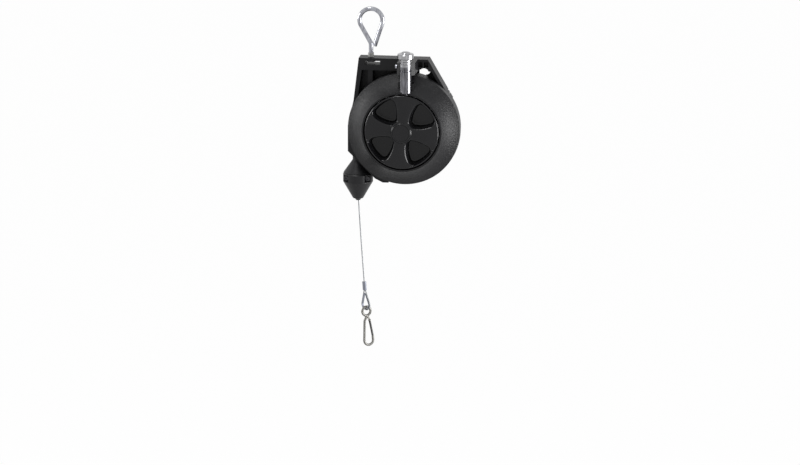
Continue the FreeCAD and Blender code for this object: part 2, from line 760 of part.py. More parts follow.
def make_eye():
    loop_z = loop_height
    leg = s.eye_leg_angle
    neck_z = loop_z - s.eye_radius / sine(leg)
    bend_run = s.eye_bend * tangent(leg / 2)
    tail = s.eye_tail_angle
    tail_x = s.eye_radius * cosine(tail)
    tail_z = loop_z - s.eye_radius * sine(tail)
    low = bar_level - s.shank_end
    eye = new_body("suspension_eye")
    path = new_sketch(eye, "XZ_Plane")
    outline(path, [
        (0, low), (0, neck_z - bend_run),
        (-bend_run * sine(leg), neck_z + bend_run * cosine(leg), s.eye_bend),
        (-s.eye_radius * cosine(leg), loop_z - s.eye_radius * sine(leg)),
        (tail_x, tail_z, -s.eye_radius, "large"),
        (tail_x - s.eye_tail * sine(tail), tail_z - s.eye_tail * cosine(tail))], closed=False)
    wire = new_sketch(eye, "XY_Plane", low)
    circle(wire, 0, 0, s.eye_wire / 2)
    pipe(eye, path, wire)

    bore = s.eye_wire / 2
    collar_low = bar_level + 0.05
    tube("eye_collar", bore, s.collar_radius, collar_low, collar_low + s.collar_height, "Z")
    washer_high = bar_level - s.slot_top_wall - 0.05
    washer_low = washer_high - s.washer_height
    tube("eye_washer", bore, s.washer_radius, washer_low, washer_high, "Z")
    nut = new_body("eye_nut")
    sides = new_sketch(nut, "XY_Plane", washer_low - s.nut_height)
    corner = s.nut_flats / 2 / cosine(Size("30", 30.0))
    outline(sides, [(corner * math.cos(math.radians(60 * n)), corner * math.sin(math.radians(60 * n)))
                    for n in range(6)])
    feature(nut, "Pad", sides, s.nut_height)
    hole = new_sketch(nut, "XY_Plane", washer_low)
    circle(hole, 0, 0, bore)
    feature(nut, "Pocket", hole, s.nut_height)


def make_drum():
    hub_outer = bearing_radius + s.hub_wall
    half = s.rope_turns * s.rope_spacing / 2
    groove_radius = s.rope_pitch_radius - s.rope_diameter / 2 - 0.1
    case_inner = case_radius - s.case_wall
    edge = half + s.flange_width
    web_front = -s.case_front - 2
    drum = new_body("rope_drum", *axis_place)
    wheel = new_sketch(drum, "XY_Plane")
    outline(wheel, [
        (bearing_radius, web_front - 1), (hub_outer, web_front - 1), (hub_outer, web_front),
        (case_inner, web_front), (case_radius + 1, -edge), (flange_radius, -edge),
        (flange_radius, -half - 0.3), (groove_radius, -half), (groove_radius, half),
        (flange_radius, half + 0.3), (flange_radius, edge), (case_radius, edge),
        (case_radius, case_back), (case_inner, case_back), (case_inner, web_front + 2.6),
        (hub_outer, web_front + 2.6), (hub_outer, front_bush_back), (bearing_radius, front_bush_back)])
    turn(drum, "Revolution", wheel)
    window = front_sketch(drum, web_front)
    circle(window, (case_inner + hub_outer) / 2, 0, s.hub_wall * 1.6)
    first_window = feature(drum, "Pocket", window, 6)
    around(drum, first_window, 6)
    lid_circle = case_radius - s.case_wall / 2
    thread = front_sketch(drum, case_back)
    circle(thread, lid_circle, 0, s.lid_screw / 2)
    first_thread = feature(drum, "Pocket", thread, 8, reverse=True)
    around(drum, first_thread, 4)
    nipple_radius = groove_radius - 3.2
    nipple_hole = front_sketch(drum, edge + 1)
    circle(nipple_hole, nipple_radius, 0, 1.7)
    feature(drum, "Pocket", nipple_hole, 2 * edge, reverse=True)

    lid_low = case_back + 0.02
    lid_high = lid_low + s.lid_width
    lid = new_body("drum_lid", *axis_place)
    plate = new_sketch(lid, "XY_Plane")
    outline(plate, [
        (bearing_radius, rear_bush_front), (hub_outer + 2, rear_bush_front), (hub_outer + 2, lid_low),
        (case_radius, lid_low), (case_radius, lid_high), (hub_outer, lid_high),
        (hub_outer, rear_bush_back), (bearing_radius, rear_bush_back)])
    turn(lid, "Revolution", plate)
    drill = front_sketch(lid, lid_high + 1)
    circle(drill, lid_circle, 0, s.lid_screw / 2 + 0.1)
    first_drill = feature(lid, "Pocket", drill, s.lid_width + 2, reverse=True)
    around(lid, first_drill, 4)
    socket_screws("lid_screws", 4, 0, lid_circle.value, lid_high.value + 1.4,
                  lid_high.value + 0.02, case_back.value - 6, s.lid_screw.value - 0.06, 3.9)

    flange = s.bearing_flange
    for name, start, end in (("front_drum_bush", web_front - 1, front_bush_back),
                             ("rear_drum_bush", rear_bush_back, rear_bush_front)):
        way = 1 if start.value < end.value else -1
        outer_edge = start - way * (flange - 0.1)
        lathe(name, [
            (bearing_bore, outer_edge), (bearing_radius + 2, outer_edge), (bearing_radius + 2, start),
            (bearing_radius, start), (bearing_radius, end), (bearing_bore, end)], "Y", *axis_place)

    # wound rope: one layer, its outside scalloped by the turns
    turns = int(round(s.rope_turns.value))
    winding = new_body("rope_winding", *axis_place)
    rows = new_sketch(winding, "XY_Plane")
    profile = [(s.rope_pitch_radius, -half)]
    for number in range(turns):
        ridge = s.rope_spacing * (number + 1) - half
        profile.append((s.rope_pitch_radius, ridge, s.rope_spacing * 0.52))
    profile += [(groove_radius + 0.05, half), (groove_radius + 0.05, -half)]
    outline(rows, profile)
    turn(winding, "Revolution", rows)
    nipple = new_body("rope_nipple", *axis_place)
    barrel = front_sketch(nipple, 3)
    circle(barrel, nipple_radius, 0, 1.65)
    feature(nipple, "Pad", barrel, 6)


def spiral_band(inner, outer, half_turns, thickness, front, width):
    """Flat spiral strip made of half turns, each an arc with its ends on the X axis."""
    step = (outer - inner) / half_turns
    edges = []
    ends = []
    for offset in (0.0, thickness):
        for number in range(half_turns):
            side = 1 if number % 2 == 0 else -1
            start = side * (inner + offset + step * number)
            end = -side * (inner + offset + step * (number + 1))
            centre = (start + end) / 2.0
            middle = Vector(centre, front, side * abs(start - end) / 2.0)
            edges.append(Part.Arc(Vector(start, front, 0), middle, Vector(end, front, 0)).toShape())
            if number == 0:
                ends.append(Vector(start, front, 0))
        ends.append(Vector(end, front, 0))
    edges.append(Part.LineSegment(ends[0], ends[2]).toShape())
    edges.append(Part.LineSegment(ends[1], ends[3]).toShape())
    face = Part.Face(Part.Wire(Part.__sortEdges__(edges)))
    return face.extrude(Vector(0, width, 0))


def make_spring():
    core_radius = (s.arbor_radius + s.core_wall).value
    case_inner = (case_radius - s.case_wall).value
    front = (front_bush_back + 0.4).value
    width = (rear_bush_front - 0.4).value - front
    band = spiral_band(core_radius + s.spring_clear.value, case_inner - s.spring_strip.value - 3.4,
                       int(round(2 * s.spring_turns.value)), s.spring_strip.value, front, width)
    place(as_node("mainspring", band), *axis_place)
    post = new_body("spring_post", *axis_place)
    base = front_sketch(post, case_back)
    circle(base, 0, -case_inner + 1.75, 1.6)
    feature(post, "Pad", base, case_back + s.case_front - 0.62)


def make_arbor():
    shoulder = -s.knob_back + 0.2
    arbor = lathe("spring_arbor", [
        (0, shoulder), (s.arbor_radius, shoulder), (s.arbor_radius, clip_place),
        (s.arbor_radius - 0.9, clip_place), (s.arbor_radius - 0.9, clip_place + 1.1),
        (s.arbor_radius, clip_place + 1.1), (s.arbor_radius, arbor_back - 0.8),
        (s.arbor_radius - 0.8, arbor_back), (0, arbor_back)], "Y", *axis_place)
    square = front_sketch(arbor, shoulder)
    half = s.arbor_square / 2
    box_outline(square, -half, -half, half, half)
    feature(arbor, "Pad", square, s.arbor_front + shoulder)
    thread = front_sketch(arbor, -s.arbor_front)
    circle(thread, 0, 0, s.knob_screw / 2)
    feature(arbor, "Pocket", thread, 14)

    tube("spring_core", s.arbor_radius + 0.02, s.arbor_radius + s.core_wall, front_bush_back + 0.3,
         rear_bush_front - 0.3, "Y", *axis_place)
    spacer_front = -s.cup_floor + s.bearing_length + s.bearing_flange + 0.05
    spacer_back = -s.case_front - 3 - s.bearing_flange + 0.05
    tube("arbor_spacer", s.arbor_radius, bearing_radius, spacer_front, spacer_back, "Y", *axis_place)
    clip = new_body("arbor_circlip", *axis_place)
    ring = front_sketch(clip, clip_place + 1.05)
    circle(ring, 0, 0, s.arbor_radius + 1.9)
    circle(ring, 0, 0, s.arbor_radius - 0.9)
    feature(clip, "Pad", ring, 1)
    gap = front_sketch(clip, clip_place)
    box_outline(gap, -2.2, -s.arbor_radius - 3, 2.2, 0)
    feature(clip, "Pocket", gap, 2)


def polar(radius, angle):
    return radius * cosine(angle), radius * sine(angle)


def make_knob():
    hub_top = -(s.knob_front + s.knob_dome + s.hub_rise)
    disc_radius = s.hub_radius - 1.4
    disc_low = hub_top + 1.2
    seat_radius = s.knob_radius - s.ring_wall
    knob = new_body("tension_knob", *axis_place)
    solid = new_sketch(knob, "XY_Plane")
    outline(solid, [
        (0, disc_low), (disc_radius, disc_low), (disc_radius, hub_top), (s.hub_radius, hub_top),
        (s.hub_radius + 1.2, hub_top + s.hub_rise), (s.knob_radius - 1.5, -s.knob_front, -90),
        (s.knob_radius, -s.knob_front + 1.2), (s.knob_radius, -s.ring_front),
        (seat_radius, -s.ring_front), (seat_radius, -s.knob_back), (0, -s.knob_back)])
    turn(knob, "Revolution", solid)

    # finger pockets: rounded triangles between hub and rim
    middle = s.pocket_turn
    half = s.pocket_span / 2
    inner_centre = s.pocket_inner + s.pocket_round
    centre_x, centre_y = polar(inner_centre, middle)
    side_angle = Size("112", 112.0)
    in_left = polar(s.pocket_round, middle + side_angle)
    in_right = polar(s.pocket_round, middle - side_angle)
    mouth = front_sketch(knob, hub_top - 1)
    outline(mouth, [
        polar(s.pocket_outer, middle - half) + (s.pocket_side,),
        polar(s.pocket_outer, middle + half) + (s.pocket_outer,),
        (centre_x + in_left[0], centre_y + in_left[1], s.pocket_side),
        (centre_x + in_right[0], centre_y + in_right[1], s.pocket_round)])
    first_pocket = feature(knob, "Pocket", mouth, s.knob_dome + s.hub_rise + 1 + s.pocket_depth)
    around(knob, first_pocket, 4)

    half_square = s.arbor_square / 2 + 0.05
    socket = front_sketch(knob, -s.knob_back)
    box_outline(socket, -half_square, -half_square, half_square, half_square)
    feature(knob, "Pocket", socket, s.arbor_front - s.knob_back + 0.1, reverse=True)
    head_room = front_sketch(knob, disc_low)
    circle(head_room, 0, 0, s.knob_screw + 0.3)
    feature(knob, "Pocket", head_room, s.knob_screw - 1)
    through = front_sketch(knob, disc_low)
    circle(through, 0, 0, s.knob_screw / 2 + 0.1)
    feature(knob, "Pocket", through, -disc_low - s.arbor_front + 1)

    cover_disc = new_body("hub_disc", *axis_place)
    face = front_sketch(cover_disc, disc_low - 0.02)
    circle(face, 0, 0, disc_radius - 0.05)
    feature(cover_disc, "Pad", face, 1.3)
    head_low = disc_low.value + s.knob_screw.value - 1.02
    socket_screws("knob_screw", 1, 0, 0, disc_low.value + 0.1, head_low, -s.arbor_front.value + 12,
                  s.knob_screw.value - 0.06, 2 * s.knob_screw.value - 2)

    ring = tube("index_ring", seat_radius, s.knob_radius, -s.ring_front + 0.05, -s.ring_back, "Y",
                *axis_place)
    hole = new_sketch(ring, "XY_Plane", s.knob_radius + 1)
    circle(hole, 0, -s.pin_front, s.index_hole / 2)
    first_hole = feature(ring, "Pocket", hole, s.ring_wall + 2)
    around(ring, first_hole, s.index_holes)
    lead = math.degrees(math.asin(s.pin_side.value / s.knob_radius.value))
    ring.Placement = FreeCAD.Placement(ring.Placement.Base, FreeCAD.Rotation(Vector(0, 1, 0), lead))


def make_lock_pin():
    pin_place = (s.axis_side + s.pin_side, -s.pin_front, -axis_drop)
    edge = math.sqrt(s.knob_radius.value ** 2 - s.pin_side.value ** 2)
    tip = Size("sqrt(Sizes.knob_radius ^ 2 - Sizes.pin_side ^ 2)", edge) - s.pin_reach
    cap_low = sleeve_top + s.ring_nut_height + s.lock_gap
    cap_high = cap_low + s.lock_cap_height
    shoulder = cap_high - s.lock_cap_dome
    rod_high = cap_low + 6.5
    collar = chamber_low + 1
    lathe("lock_pin", [
        (0, tip), (s.pin_radius - 0.4, tip), (s.pin_radius, tip + 0.6), (s.pin_radius, collar),
        (s.chamber_radius - 0.3, collar), (s.chamber_radius - 0.3, collar + 1.6),
        (s.pin_radius, collar + 1.6), (s.pin_radius, rod_high), (0, rod_high)], "Z", *pin_place)
    lathe("lock_cap", [
        (s.pin_radius, cap_low), (s.lock_cap_radius - 0.8, cap_low), (s.lock_cap_radius, cap_low + 0.8),
        (s.lock_cap_radius, shoulder - 0.8), (s.lock_cap_radius - 0.8, shoulder),
        (s.lock_cap_radius - 3.6, shoulder), (s.lock_cap_radius - 5.6, cap_high - 0.3, 3.4),
        (s.lock_cap_radius - 7, cap_high), (0, cap_high), (0, rod_high + 0.02),
        (s.pin_radius, rod_high + 0.02)], "Z", *pin_place)
    spring_low = collar + 1.7
    spring_high = sleeve_top - 3.1
    sleeve_inner = s.pin_radius + s.lock_wire
    sleeve_outer = sleeve_inner + s.lock_wire / 2
    coils = int(round(s.lock_coils.value))
    pitch = (spring_high - spring_low) / coils
    profile = [(sleeve_outer, spring_low)]
    for number in range(coils):
        profile.append((sleeve_outer, spring_low + pitch * (number + 1), pitch * 0.6))
    profile += [(sleeve_inner, spring_high), (sleeve_inner, spring_low)]
    lathe("lock_spring", profile, "Z", *pin_place)


def rounded_path(points, radii):
    """Straight runs through the points, with a tangent arc of the given radius at each inner point."""
    edges = []
    start = points[0]
    for before, corner, after, radius in zip(points, points[1:], points[2:], radii):
        back = (before - corner).normalize()
        ahead = (after - corner).normalize()
        half = back.getAngle(ahead) / 2.0
        run = radius / math.tan(half)
        enter = corner + back * run
        leave = corner + ahead * run
        inward = (back + ahead).normalize()
        middle = corner + inward * (radius / math.sin(half) - radius)
        edges.append(Part.LineSegment(start, enter).toShape())
        edges.append(Part.Arc(enter, middle, leave).toShape())
        start = leave
    edges.append(Part.LineSegment(start, points[-1]).toShape())
    return Part.Wire(edges)


def swept(path, radius):
    first = path.Edges[0]
    start = first.valueAt(first.FirstParameter)
    section = Part.Wire(Part.makeCircle(radius, start, first.tangentAt(first.FirstParameter)))
    return path.makePipeShell([section], True, False)


def make_buffer():
    rope_place = (s.axis_side + rope_x, 0, -axis_drop)
    top = -s.funnel_mouth - s.seat_gap
    band_low = top - s.buffer_band
    cavity_high = band_low + 2
    cavity_low = cavity_high - s.crimp_length
    screw_side = s.buffer_radius - 4.8
    screw_height = (top + band_low) / 2 - 0.6
    notch_floor = 7.0
    for name, way in (("buffer_front", -1), ("buffer_back", 1)):
        half = new_body(name, *rope_place)
        round_shape = new_sketch(half, "XZ_Plane")
        outline(round_shape, [
            (s.buffer_bore, top + s.buffer_nose - 0.6), (s.bush_radius, top + s.buffer_nose - 0.6),
            (s.buffer_radius / 2, top), (s.buffer_radius - 1.2, top), (s.buffer_radius, top - 1.4),
            (s.buffer_radius, band_low), (s.buffer_tip, -s.buffer_end + 2.6),
            (s.buffer_bore + 1.2, -s.buffer_end, 4.2), (s.buffer_bore, -s.buffer_end),
            (s.buffer_bore, cavity_low), (s.crimp_radius + 0.1, cavity_low),
            (s.crimp_radius + 0.1, cavity_high), (s.buffer_bore, cavity_high)])
        turn(half, "Revolution", round_shape)
        away = front_sketch(half, -way * (s.buffer_radius + 1))
        box_outline(away, -s.buffer_radius - 1, -s.buffer_end - 1, s.buffer_radius + 1, top + 8)
        feature(half, "Pocket", away, s.buffer_radius + 1 + 0.03, reverse=way < 0)
        for side in (-1, 1):
            notch = front_sketch(half, way * (s.buffer_radius + 1))
            edges = sorted([side * (screw_side - 3), side * (s.buffer_radius + 1)],
                           key=lambda size: size.value)
            box_outline(notch, edges[0], band_low + 0.8, edges[1], top - 1.8)
            feature(half, "Pocket", notch, s.buffer_radius + 1 - notch_floor, reverse=way > 0)
            drill = front_sketch(half, way * notch_floor)
            circle(drill, side * screw_side, screw_height, s.screw_thread / 2)
            feature(half, "Pocket", drill, notch_floor, reverse=way > 0)
    screws = []
    for side in (-1, 1):
        x = side * screw_side.value
        z = screw_height.value
        along = Vector(0, 1, 0)
        head = Part.makeCylinder(2.5, 2.2, Vector(x, -notch_floor - 2.2, z), along)
        shank = Part.makeCylinder(s.screw_thread.value / 2 - 0.02, notch_floor * 2,
                                  Vector(x, -notch_floor, z), along)
        nut = Part.makeCylinder(2.5, 1.8, Vector(x, notch_floor + 0.02, z), along)
        socket = Part.makeCylinder(1.2, 1.3, Vector(x, -notch_floor - 2.2, z), along)
        screws.append(head.fuse(shank).fuse(nut).removeSplitter().cut(socket))
    place(as_node("buffer_screws", Part.makeCompound(screws)), *rope_place)
    tube("rope_crimp", s.rope_diameter / 2, s.crimp_radius, cavity_low + 0.05, cavity_high - 0.05, "Z",
         *rope_place)


def hanging_place(drop, turn_angle=0.0):
    """Place on the leaning rope line, this far below the bend under the buffer."""
    bend = Vector((s.axis_side + rope_x).value, 0, -(axis_drop + s.buffer_end + 1).value)
    lean = FreeCAD.Placement(bend, FreeCAD.Rotation(Vector(0, 1, 0), -s.rope_lean.value))
    return lean.multiply(FreeCAD.Placement(Vector(0, 0, -drop),
                                           FreeCAD.Rotation(Vector(0, 0, 1), turn_angle)))


def make_rope():
    radius = s.rope_diameter.value / 2
    top = -(axis_drop + s.funnel_mouth + s.seat_gap).value
    x = (s.axis_side + rope_x).value
    bend = hanging_place(0.0).Base
    end = hanging_place(s.rope_drop.value).Base
    lead_top = Vector(x, 0, -(axis_drop + s.lead_start).value)
    as_node("rope_lead", Part.makeCylinder(radius, lead_top.z - top, Vector(x, 0, top)))
    half_lean = math.radians(s.rope_lean.value) / 2
    bend_radius = 0.45 * (top - bend.z) / math.tan(half_lean)
    path = rounded_path([Vector(x, 0, top), bend, end], [bend_radius])
    rope = swept(path, radius)
    as_node("rope", rope)
    section = math.pi * radius * radius
    print("rope length %.2f, bend radius %.0f, volume ratio %.4f"
          % (path.Length, bend_radius, rope.Volume / (section * path.Length)))

    ferrule = new_body("ferrule", placement=hanging_place(s.rope_drop.value, -s.loop_turn.value))
    oval = new_sketch(ferrule, "XY_Plane", -s.ferrule_length)
    flat = (s.ferrule_width - s.ferrule_depth) / 2
    round_end = s.ferrule_depth / 2
    outline(oval, [
        (-flat, -round_end, round_end * 1.0001), (flat, -round_end), (flat, round_end, round_end * 1.0001),
        (-flat, round_end)])
    feature(ferrule, "Pad", oval, s.ferrule_length)

    # rope loop and thimble, from their hinge point at the bottom of the loop
    hinge_drop = (s.rope_drop + s.ferrule_length + s.loop_length).value
    place_loop = hanging_place(hinge_drop, -s.loop_turn.value)
    big = s.loop_radius.value
    centre = big - s.loop_seat.value
    leg = s.loop_length.value - centre
    apart = radius + 0.1
    slope = math.asin(big / math.hypot(leg, apart)) - math.atan2(apart, leg)
    outward = Vector(math.cos(slope), 0, math.sin(slope))

    def side_point(distance, along, side):
        x_part = distance * outward.x - along * math.sin(slope)
        return Vector(side * x_part, 0, centre + distance * outward.z + along * math.cos(slope))

    leg_length = (leg - big * math.sin(slope)) / math.cos(slope)
    low = Vector(0, 0, centre - big)
    loop_path = Part.Wire([
        Part.LineSegment(side_point(big, leg_length, -1), side_point(big, 0, -1)).toShape(),
        Part.Arc(side_point(big, 0, -1), low, side_point(big, 0, 1)).toShape(),
        Part.LineSegment(side_point(big, 0, 1), side_point(big, leg_length, 1)).toShape()])
    loop = swept(loop_path, radius)
    flat_top = Part.makeBox(20, 20, 5, Vector(-10, -10, s.loop_length.value))
    as_node("rope_loop", loop.cut(flat_top), place_loop)

    outer = big - radius - 0.05
    inner = outer - s.thimble_strip.value
    thimble_leg = (inner * math.cos(slope) - 0.5) / math.sin(slope)
    corners = [side_point(outer, thimble_leg, -1), side_point(outer, 0, -1),
               side_point(outer, 0, 1), side_point(outer, thimble_leg, 1),
               side_point(inner, thimble_leg, 1), side_point(inner, 0, 1),
               side_point(inner, 0, -1), side_point(inner, thimble_leg, -1)]
    lines = [Part.LineSegment(corners[a], corners[b]).toShape()
             for a, b in ((0, 1), (2, 3), (3, 4), (4, 5), (6, 7), (7, 0))]
    arcs = [Part.Arc(corners[1], Vector(0, 0, centre - outer), corners[2]).toShape(),
            Part.Arc(corners[5], Vector(0, 0, centre - inner), corners[6]).toShape()]
    face = Part.Face(Part.Wire(Part.__sortEdges__(lines + arcs)))
    width = s.thimble_width.value
    face.translate(Vector(0, -width / 2, 0))
    as_node("thimble", face.extrude(Vector(0, width, 0)), place_loop)


def make_hook():
    hinge_drop = (s.rope_drop + s.ferrule_length + s.loop_length).value
    place_hook = hanging_place(hinge_drop, s.hook_turn.value)
    wire = s.hook_wire.value / 2
    seat = s.rope_diameter.value - s.loop_seat.value + s.thimble_strip.value - s.rope_diameter.value / 2
    eye_top = seat + s.hook_gap.value + wire
    eye = s.hook_eye.value
    eye_centre = eye_top - eye
    neck = eye_centre - eye
    bowl = s.hook_bowl.value
    low = eye_top + wire - s.hook_length.value + wire
    shoulder = -s.hook_shoulder.value
    half_top = s.hook_half_top.value
    ring = Part.makeTorus(eye, wire, Vector(0, 0, eye_centre), Vector(0, 1, 0))
    nose = low + bowl + s.nose_height.value
    spine_points = [Vector(0, 0, neck), Vector(-half_top, 0, shoulder), Vector(-bowl, 0, low),
                    Vector(bowl, 0, low), Vector(bowl - 0.3, 0, nose)]
    spine = swept(rounded_path(spine_points, [5.0, bowl * 0.94, bowl * 0.94]), wire)
    pivot = Vector(half_top, 0, shoulder - 0.6)
    stub_end = Vector(half_top * 0.5, 0, (neck + pivot.z) / 2 + 0.9)
    stub = swept(Part.Wire([Part.LineSegment(Vector(0, 0, neck), stub_end).toShape()]), wire)
    tongue = 1.0
    eyelet = Part.makeCylinder(wire + 0.1, tongue, pivot - Vector(0, tongue / 2, 0), Vector(0, 1, 0))
    run = pivot - stub_end
    bridge = Part.makeBox(2 * wire - 0.4, tongue, run.Length + 0.8,
                          Vector(-wire + 0.2, -tongue / 2, -run.Length))
    bridge.Placement = FreeCAD.Placement(stub_end, FreeCAD.Rotation(Vector(0, 0, -1), run))
    body = ring.fuse([spine, stub, eyelet, bridge]).removeSplitter()
    hole = Part.makeCylinder(s.rivet.value / 2, 6, pivot - Vector(0, 3, 0), Vector(0, 1, 0))
    as_node("hook_body", body.cut(hole), place_hook)

    rivet = Part.makeCylinder(s.rivet.value / 2, 2 * wire + 0.4, pivot - Vector(0, wire + 0.2, 0),
                              Vector(0, 1, 0))
    as_node("gate_rivet", rivet, place_hook)
    nose_top = Vector(bowl - 0.3, 0, nose + s.gate_gap.value)
    rod_line = nose_top - pivot
    start = pivot - rod_line.normalize() * 1.5
    length = (nose_top - start).Length
    rod = Part.makeCylinder(wire - 0.15, length, start, nose_top - start)
    slot = Part.makeBox(8, tongue + 2 * s.fork_gap.value, 3.6 + wire,
                        Vector(-4, -tongue / 2 - s.fork_gap.value, 0))
    slot.Placement = FreeCAD.Placement(start, FreeCAD.Rotation(Vector(0, 0, 1), nose_top - start))
    bore = Part.makeCylinder(s.rivet.value / 2 + 0.05, 6, pivot - Vector(0, 3, 0), Vector(0, 1, 0))
    as_node("hook_gate", rod.cut(slot).cut(bore), place_hook)


make_back_housing()
make_front_cover()
make_housing_parts()
make_eye()
make_drum()
make_spring()
make_arbor()
make_knob()
make_lock_pin()
make_buffer()
make_rope()
make_hook()
doc.recompute()
faults = [item.Name for item in doc.Objects if {"Invalid", "Error"} & set(item.State)]
for item in nodes:
    if item.Shape.isNull() or not item.Shape.isValid() or not item.Shape.Solids:
        faults.append(item.Label)
if faults:
    raise RuntimeError("not built: " + ", ".join(faults))
for item in nodes:
    item.Shape.exportStep("parts/%s.step" % item.Label)
print("written", len(nodes), "pieces")
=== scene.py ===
import json
import math
import bmesh
import bpy
from mathutils import Matrix, Vector


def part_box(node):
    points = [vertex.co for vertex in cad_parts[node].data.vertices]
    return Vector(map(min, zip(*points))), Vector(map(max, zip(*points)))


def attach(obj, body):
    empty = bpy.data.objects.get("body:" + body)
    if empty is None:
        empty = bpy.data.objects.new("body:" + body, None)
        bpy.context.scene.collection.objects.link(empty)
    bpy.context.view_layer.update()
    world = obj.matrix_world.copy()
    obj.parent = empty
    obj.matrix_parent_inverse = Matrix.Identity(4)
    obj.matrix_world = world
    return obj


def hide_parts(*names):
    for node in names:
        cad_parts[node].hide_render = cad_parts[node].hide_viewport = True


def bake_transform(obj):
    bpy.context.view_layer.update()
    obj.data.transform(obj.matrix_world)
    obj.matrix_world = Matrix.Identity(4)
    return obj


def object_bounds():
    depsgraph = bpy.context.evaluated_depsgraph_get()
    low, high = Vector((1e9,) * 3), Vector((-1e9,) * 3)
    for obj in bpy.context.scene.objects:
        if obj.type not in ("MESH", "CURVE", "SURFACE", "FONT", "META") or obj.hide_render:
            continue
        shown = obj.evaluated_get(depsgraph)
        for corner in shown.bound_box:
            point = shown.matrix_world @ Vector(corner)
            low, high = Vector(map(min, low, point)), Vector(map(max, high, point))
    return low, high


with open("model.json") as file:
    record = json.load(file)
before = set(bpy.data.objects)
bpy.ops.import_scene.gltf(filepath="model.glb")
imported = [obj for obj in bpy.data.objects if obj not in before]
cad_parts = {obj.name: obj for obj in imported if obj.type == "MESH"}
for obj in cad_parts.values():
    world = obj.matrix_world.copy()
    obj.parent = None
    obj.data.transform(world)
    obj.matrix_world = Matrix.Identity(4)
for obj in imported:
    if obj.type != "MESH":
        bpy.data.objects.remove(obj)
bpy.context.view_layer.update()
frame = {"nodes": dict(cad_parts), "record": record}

nodes = frame["nodes"]
scene = bpy.context.scene
print("frame loaded:", len(nodes), "nodes")


# camera
cameraValues = {
    "turn": 8.0,            # degrees round to the right of the front
    "height": 12.5,         # degrees above level
    "distance": 12.0,
    "lens": 470.0,
    "clipEnd": 60.0,
    "front": -0.040,        # depth of the point aimed at
    "aimSide": -0.0017,     # aim, sideways and up from the middle of the knob
    "aimUp": -0.1149,
}


def makeCamera():
    values = cameraValues
    low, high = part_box("tension_knob")
    knobMiddle = Vector(((low.x + high.x) / 2, values["front"], (low.z + high.z) / 2))
    turn = math.radians(values["turn"])
    height = math.radians(values["height"])
    right = Vector((math.cos(turn), math.sin(turn), 0))
    towards = Vector((math.sin(turn) * math.cos(height), -math.cos(turn) * math.cos(height),
                      math.sin(height)))
    up = towards.cross(right)
    aim = knobMiddle + right * values["aimSide"] + up * values["aimUp"]
    data = bpy.data.cameras.new("camera")
    data.lens = values["lens"]
    data.clip_end = values["clipEnd"]
    camera = bpy.data.objects.new("camera", data)
    scene.collection.objects.link(camera)
    axes = Matrix((right, up, towards)).transposed().to_4x4()
    camera.matrix_world = Matrix.Translation(aim + towards * values["distance"]) @ axes
    scene.camera = camera


makeCamera()
print("camera set")


# rope
ropeValues = {
    "diameter": 0.0015,
    "strands": 6,
    "strandPoints": 5,      # points round one strand
    "groove": 0.13,         # depth between two strands, as a share of the radius
    "grooveShape": 1.5,
    "lay": 0.010,           # length of one turn of the strands
    "step": 0.0009,
    "side": -0.0152,        # rope line under the left edge of the drum
    "drumEnd": -0.1474,
    "seat": -0.1901,        # top of the rope stop
    "bend": -0.2238,        # where the rope starts to lean, under the stop's tip
    "lean": 4.2,
    "drop": 0.096,          # from the bend to the ferrule
    "anchorDrop": 0.001,    # the blend starts this far below the drum's end
}


def leaningPoint(drop, side=0.0, turn=0.0):
    # point on the leaning part of the rope, at this distance below the bend
    lean = math.radians(ropeValues["lean"])
    around = math.radians(turn)
    bend = Vector((ropeValues["side"], 0, ropeValues["bend"]))
    along = Vector((math.sin(lean), 0, -math.cos(lean)))
    across = Vector((math.cos(lean), 0, math.sin(lean)))
    out = Vector((0, side * math.sin(around), 0))
    return bend + along * drop + across * (side * math.cos(around)) + out


def readRoute(points):
    # smooth line through a short list of control points, read back as many points
    curve = bpy.data.curves.new("route", "CURVE")
    curve.dimensions = "3D"
    spline = curve.splines.new("NURBS")
    spline.points.add(len(points) - 1)
    for item, place in zip(spline.points, points):
        item.co = (*place, 1)
    spline.order_u = 3
    spline.use_endpoint_u = True
    spline.resolution_u = 64
    holder = bpy.data.objects.new("route", curve)
    scene.collection.objects.link(holder)
    bpy.context.view_layer.update()
    mesh = bpy.data.meshes.new_from_object(holder)
    line = [v.co.copy() for v in mesh.vertices]
    bpy.data.objects.remove(holder)
    bpy.data.meshes.remove(mesh)
    bpy.data.curves.remove(curve)
    return line


def evenPoints(line, step):
    # the same line with its points about the given step apart, and its length
    lengths = [0.0]
    for first, second in zip(line, line[1:]):
        lengths.append(lengths[-1] + (second - first).length)
    count = max(2, round(lengths[-1] / step))
    points = []
    index = 0
    for number in range(count + 1):
        want = lengths[-1] * number / count
        while index < len(line) - 2 and lengths[index + 1] < want:
            index += 1
        part = (want - lengths[index]) / max(lengths[index + 1] - lengths[index], 1e-12)
        points.append(line[index].lerp(line[index + 1], min(max(part, 0.0), 1.0)))
    return points, lengths[-1]


def addPiece(name, bm, body, material, smooth):
    # finished object from a mesh; edges sharper than smooth degrees stay sharp
    bmesh.ops.recalc_face_normals(bm, faces=bm.faces)
    mesh = bpy.data.meshes.new(name)
    bm.to_mesh(mesh)
    bm.free()
    piece = bpy.data.objects.new(name, mesh)
    scene.collection.objects.link(piece)
    mesh.materials.append(material)
    mesh.shade_smooth()
    mesh.set_sharp_from_angle(angle=math.radians(smooth))
    if body:
        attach(piece, body)
    return piece


